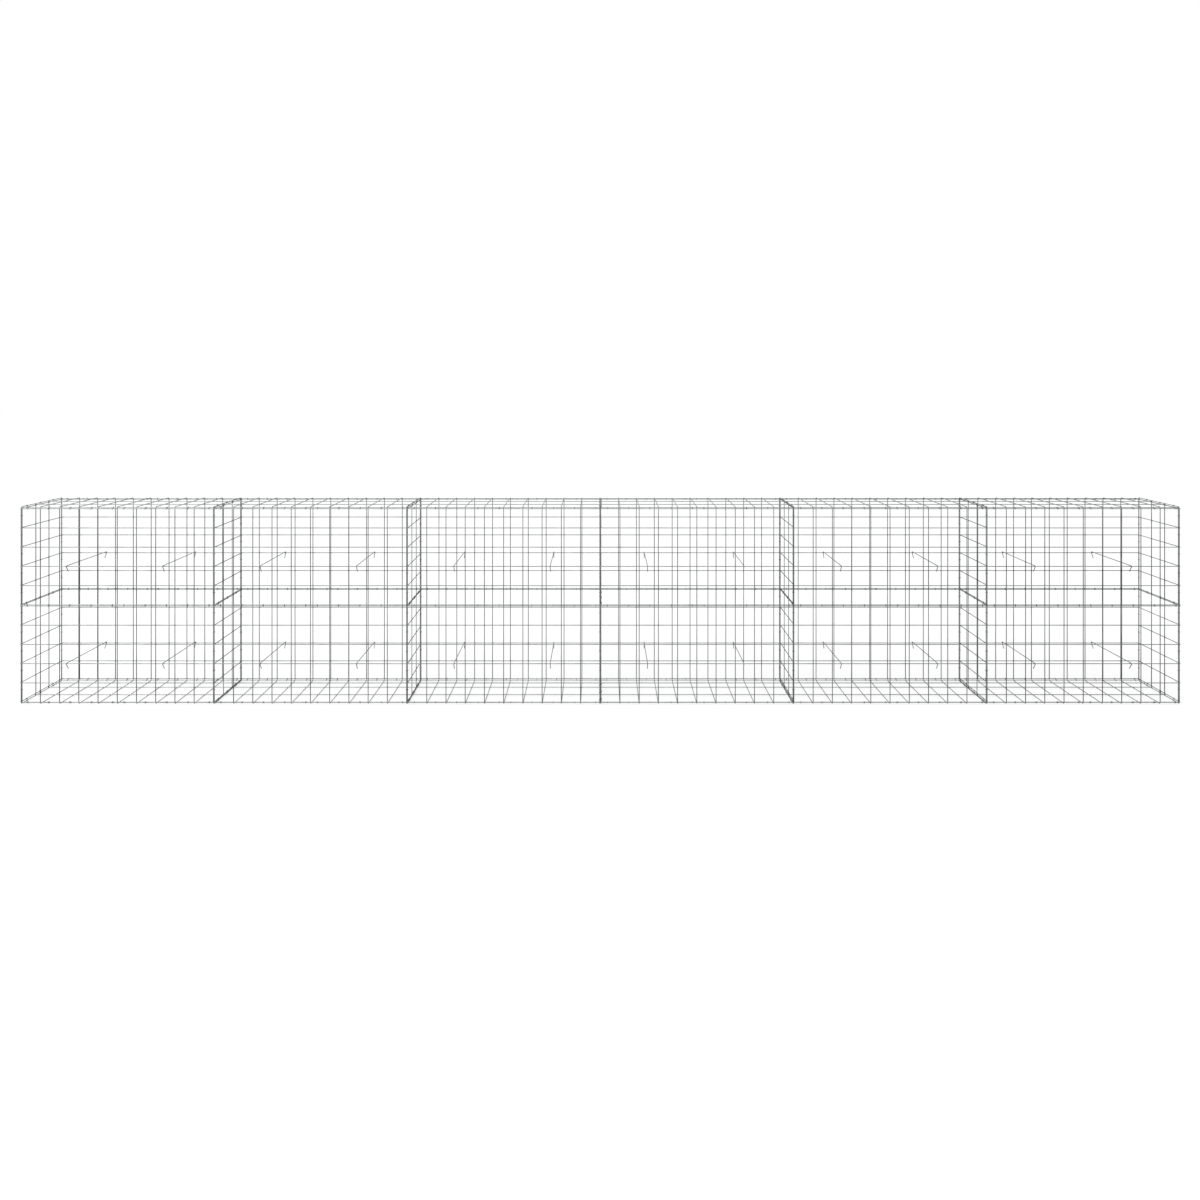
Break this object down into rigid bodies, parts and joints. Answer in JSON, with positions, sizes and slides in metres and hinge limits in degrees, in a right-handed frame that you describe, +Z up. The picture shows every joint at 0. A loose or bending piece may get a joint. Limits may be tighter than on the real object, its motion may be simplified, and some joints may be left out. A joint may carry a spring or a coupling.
{
  "type": "gabion wall",
  "caption": "Empty gabion wall: a straight run of welded steel mesh basket bays with lids, partitions, end panels and hooked cross ties.",
  "frame": {"origin": "bottom centre of the wall, on the ground", "axes": "+X along the wall to the right, +Y from the front face to the back face, +Z up"},
  "size_m": [6.009, 0.334, 1.0267],
  "materials": {
    "mesh_wire": "galvanised, drawn wire",
    "tie_wire": "galvanised, bent wire"
  },
  "bodies": {
    "root": {"back_panels_bay_1": "mesh_wire", "back_panels_bay_2": "mesh_wire", "back_panels_bay_3": "mesh_wire", "back_panels_bay_4": "mesh_wire", "back_panels_bay_5": "mesh_wire", "back_panels_bay_6": "mesh_wire", "base_panel_bay_1": "mesh_wire", "base_panel_bay_2": "mesh_wire", "base_panel_bay_3": "mesh_wire", "base_panel_bay_4": "mesh_wire", "base_panel_bay_5": "mesh_wire", "base_panel_bay_6": "mesh_wire", "base_rings": "tie_wire", "cross_ties_bay_1": "tie_wire", "cross_ties_bay_2": "tie_wire", "cross_ties_bay_3": "tie_wire", "cross_ties_bay_4": "tie_wire", "cross_ties_bay_5": "tie_wire", "cross_ties_bay_6": "tie_wire", "end_panels_left": "mesh_wire", "end_panels_right": "mesh_wire", "front_panels_bay_1": "mesh_wire", "front_panels_bay_2": "mesh_wire", "front_panels_bay_3": "mesh_wire", "front_panels_bay_4": "mesh_wire", "front_panels_bay_5": "mesh_wire", "front_panels_bay_6": "mesh_wire", "lid_panel_bay_1": "mesh_wire", "lid_panel_bay_2": "mesh_wire", "lid_panel_bay_3": "mesh_wire", "lid_panel_bay_4": "mesh_wire", "lid_panel_bay_5": "mesh_wire", "lid_panel_bay_6": "mesh_wire", "lid_rings": "tie_wire", "partition_1": "mesh_wire", "partition_2": "mesh_wire", "partition_3": "mesh_wire", "partition_4": "mesh_wire", "partition_5": "mesh_wire"}
  },
  "joints": []
}
